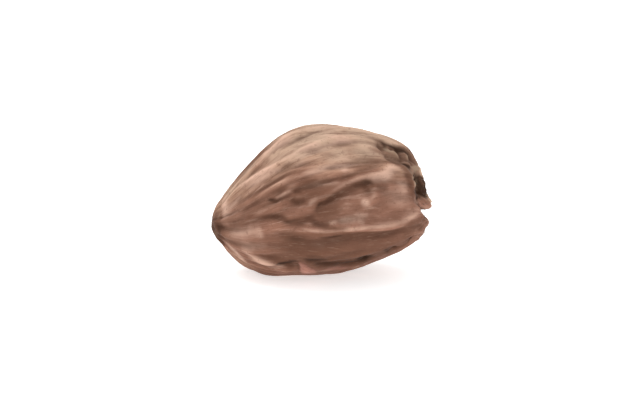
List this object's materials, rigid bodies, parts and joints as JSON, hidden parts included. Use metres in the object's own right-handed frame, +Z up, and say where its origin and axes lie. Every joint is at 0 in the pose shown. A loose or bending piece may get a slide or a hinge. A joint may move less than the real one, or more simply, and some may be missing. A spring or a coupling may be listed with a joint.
{
  "type": "black cardamom pod",
  "caption": "Dried black cardamom pod: a ribbed, wrinkled brown husk with a stalk scar at its narrow end and a hollowed, split blunt end, resting on a small flat spot.",
  "frame": {"origin": "on the floor, under the middle of the pod's bounding box", "axes": "+X from the narrow stalk end to the blunt split end, -Y towards the side that the picture shows, +Z up"},
  "size_m": [0.0301, 0.0206, 0.0206],
  "materials": {
    "husk": "dull, dry, fibrous plant husk"
  },
  "bodies": {
    "root": {"pod": "husk"}
  },
  "joints": []
}
